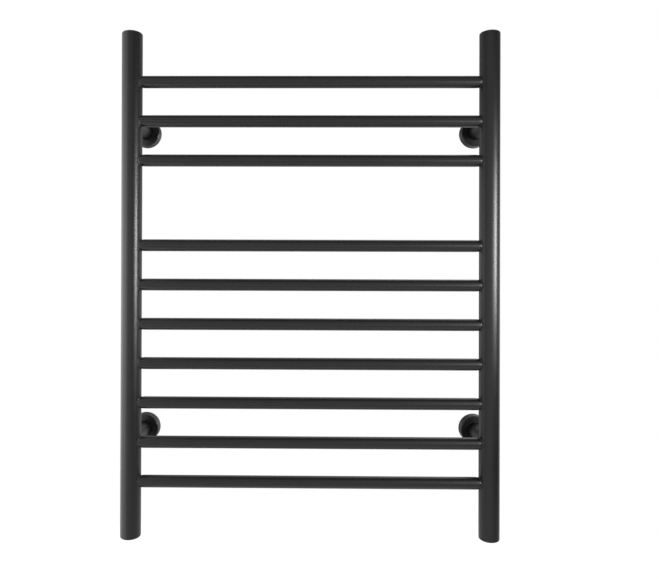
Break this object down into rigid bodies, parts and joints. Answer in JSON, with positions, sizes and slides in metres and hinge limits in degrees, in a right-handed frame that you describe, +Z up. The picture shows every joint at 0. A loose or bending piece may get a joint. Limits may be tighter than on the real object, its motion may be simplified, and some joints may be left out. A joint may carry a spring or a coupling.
{
  "type": "towel warmer rack",
  "caption": "Wall-hung electric ladder towel warmer: round crossbars coped between two round posts, on four stand-off brackets with sliding round covers.",
  "frame": {"origin": "on the wall plane, at the centre of the four wall plates", "axes": "+X along the crossbars, +Y into the wall, +Z up; the rack stands off the wall along -Y"},
  "size_m": [0.617, 0.107, 0.8],
  "materials": {
    "black_coat": "matte black powder coat",
    "rosette_coat": "satin black powder coat",
    "plated_steel": "zinc plated",
    "screw_steel": "stainless",
    "ring_rubber": "matte",
    "cable_silicone": "smooth silicone",
    "block_plastic": "moulded",
    "cutout_plastic": "moulded",
    "brass": "turned"
  },
  "bodies": {
    "rack": {"left_post": "black_coat", "left_top_cap": "black_coat", "left_bottom_cap": "black_coat", "right_post": "black_coat", "right_top_cap": "black_coat", "right_bottom_cap": "black_coat", "crossbar_01": "black_coat", "crossbar_02": "black_coat", "crossbar_03": "black_coat", "crossbar_04": "black_coat", "crossbar_05": "black_coat", "crossbar_06": "black_coat", "crossbar_07": "black_coat", "crossbar_08": "black_coat", "crossbar_09": "black_coat", "crossbar_10": "black_coat", "upper_left_standoff": "black_coat", "upper_left_wall_plate": "plated_steel", "upper_right_standoff": "black_coat", "upper_right_wall_plate": "plated_steel", "lower_left_standoff": "black_coat", "lower_left_wall_plate": "plated_steel", "lower_right_standoff": "black_coat", "lower_right_wall_plate": "plated_steel", "set_screws": "screw_steel", "heating_cable": "cable_silicone", "terminal_block": "block_plastic", "terminal_screws": "brass", "thermal_cutout": "cutout_plastic", "inlet_bushing": "ring_rubber", "earth_stud": "screw_steel", "earth_lug": "brass", "earth_nut": "screw_steel"},
    "upper_left_cover": {"upper_left_rosette": "rosette_coat", "upper_left_rosette_ring": "ring_rubber"},
    "upper_right_cover": {"upper_right_rosette": "rosette_coat", "upper_right_rosette_ring": "ring_rubber"},
    "lower_left_cover": {"lower_left_rosette": "rosette_coat", "lower_left_rosette_ring": "ring_rubber"},
    "lower_right_cover": {"lower_right_rosette": "rosette_coat", "lower_right_rosette_ring": "ring_rubber"}
  },
  "joints": [
    {"name": "upper_left_rosette_slide", "type": "slide", "parent": "rack", "child": "upper_left_cover", "axis": [0, -1, 0], "range_m": [0, 0.057]},
    {"name": "upper_right_rosette_slide", "type": "slide", "parent": "rack", "child": "upper_right_cover", "axis": [0, -1, 0], "range_m": [0, 0.057]},
    {"name": "lower_left_rosette_slide", "type": "slide", "parent": "rack", "child": "lower_left_cover", "axis": [0, -1, 0], "range_m": [0, 0.057]},
    {"name": "lower_right_rosette_slide", "type": "slide", "parent": "rack", "child": "lower_right_cover", "axis": [0, -1, 0], "range_m": [0, 0.057]}
  ]
}
